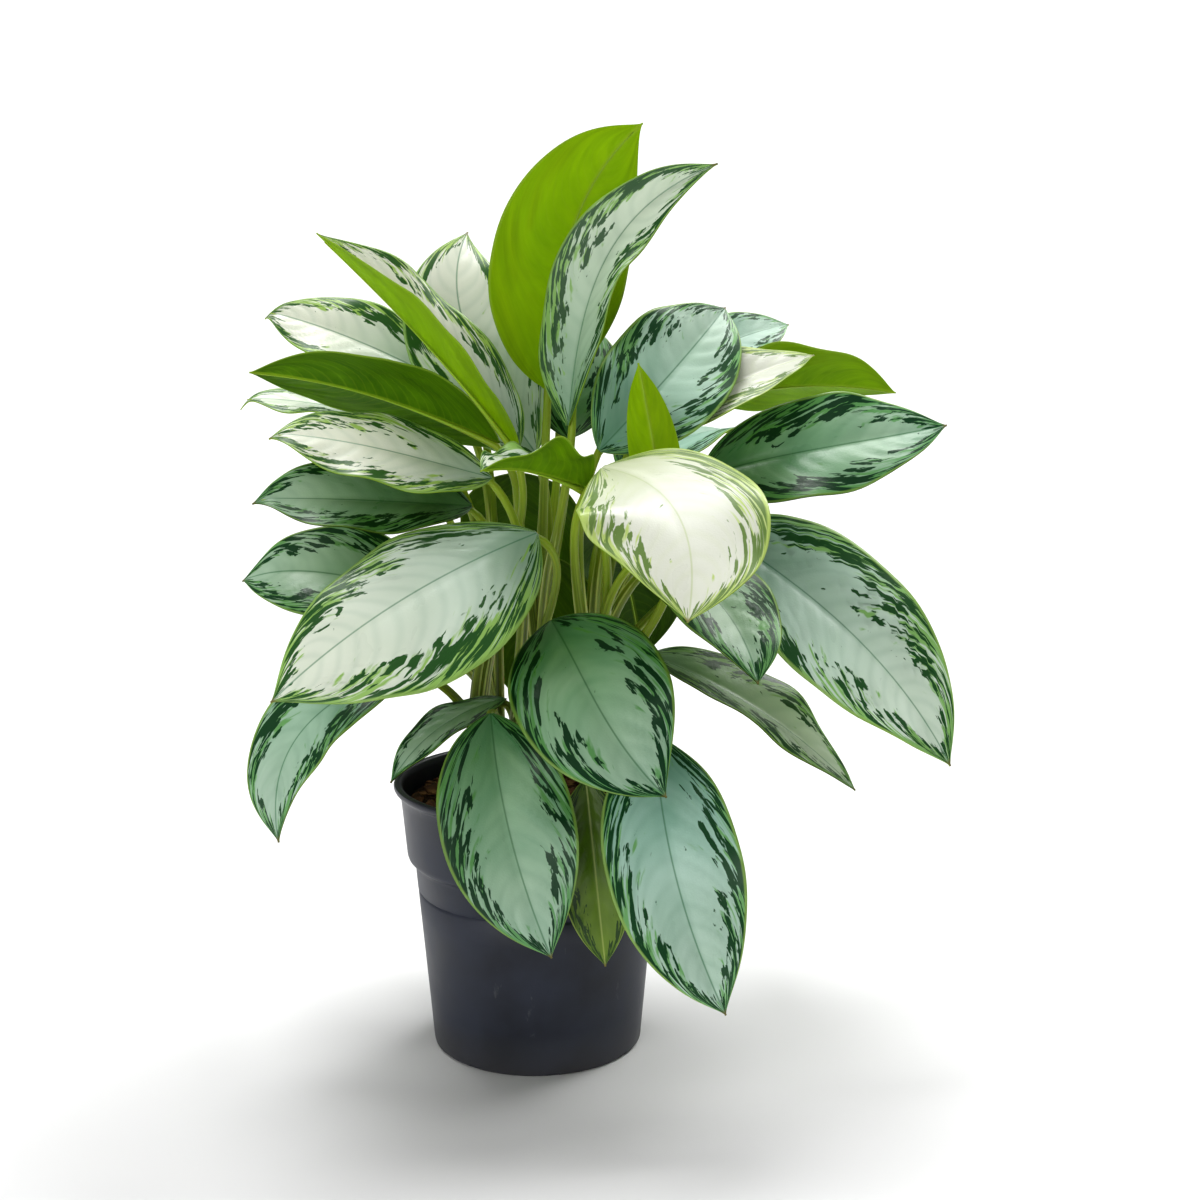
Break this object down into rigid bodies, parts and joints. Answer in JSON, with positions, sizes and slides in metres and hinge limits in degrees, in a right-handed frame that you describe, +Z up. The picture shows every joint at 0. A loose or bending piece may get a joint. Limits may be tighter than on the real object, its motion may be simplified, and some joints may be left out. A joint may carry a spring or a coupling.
{
  "type": "potted chinese evergreen",
  "caption": "Leafy houseplant with silver and green patterned leaves on upright stalks, rooted in soil in a plain dark plastic nursery pot.",
  "frame": {"origin": "middle of the flat underside of the pot, on the floor", "axes": "+Z up, -Y towards the front of the plant, +X to its right as seen from the front"},
  "size_m": [0.4715, 0.4045, 0.6085],
  "materials": {
    "pot_plastic": "matte moulded plastic, anthracite grey",
    "potting_mix": "loose bark and peat",
    "stem": "smooth fresh green, slightly waxy",
    "leaf_silver": "satin waxy leaf, silver grey with green edge",
    "leaf_pale": "satin waxy leaf, near white with yellow green edge",
    "leaf_young": "satin waxy leaf, bright yellow green"
  },
  "bodies": {
    "root": {"pot": "pot_plastic", "soil": "potting_mix", "stem_1": "stem", "stem_2": "stem", "stem_3": "stem", "stem_4": "stem", "stem_5": "stem", "stem_6": "stem", "leaf_01": "leaf_silver", "leaf_02": "leaf_silver", "leaf_03": "leaf_silver", "leaf_04": "leaf_silver", "leaf_05": "leaf_silver", "leaf_06": "leaf_silver", "leaf_07": "leaf_silver", "leaf_08": "leaf_silver", "leaf_09": "leaf_silver", "leaf_10": "leaf_silver", "leaf_11": "leaf_silver", "leaf_12": "leaf_silver", "leaf_13": "leaf_silver", "leaf_14": "leaf_silver", "leaf_15": "leaf_silver", "leaf_16": "leaf_silver", "leaf_17": "leaf_young", "leaf_18": "leaf_silver", "leaf_19": "leaf_silver", "leaf_20": "leaf_pale", "leaf_21": "leaf_silver", "leaf_22": "leaf_silver", "leaf_23": "leaf_silver", "leaf_24": "leaf_silver", "leaf_25": "leaf_silver", "leaf_26": "leaf_silver", "leaf_27": "leaf_pale", "leaf_28": "leaf_young", "leaf_29": "leaf_silver", "leaf_30": "leaf_silver", "leaf_31": "leaf_silver", "leaf_32": "leaf_silver", "leaf_33": "leaf_silver", "leaf_34": "leaf_silver", "leaf_35": "leaf_silver", "leaf_36": "leaf_silver", "leaf_37": "leaf_silver", "leaf_38": "leaf_silver", "leaf_39": "leaf_silver", "leaf_40": "leaf_silver", "leaf_41": "leaf_silver"}
  },
  "joints": []
}
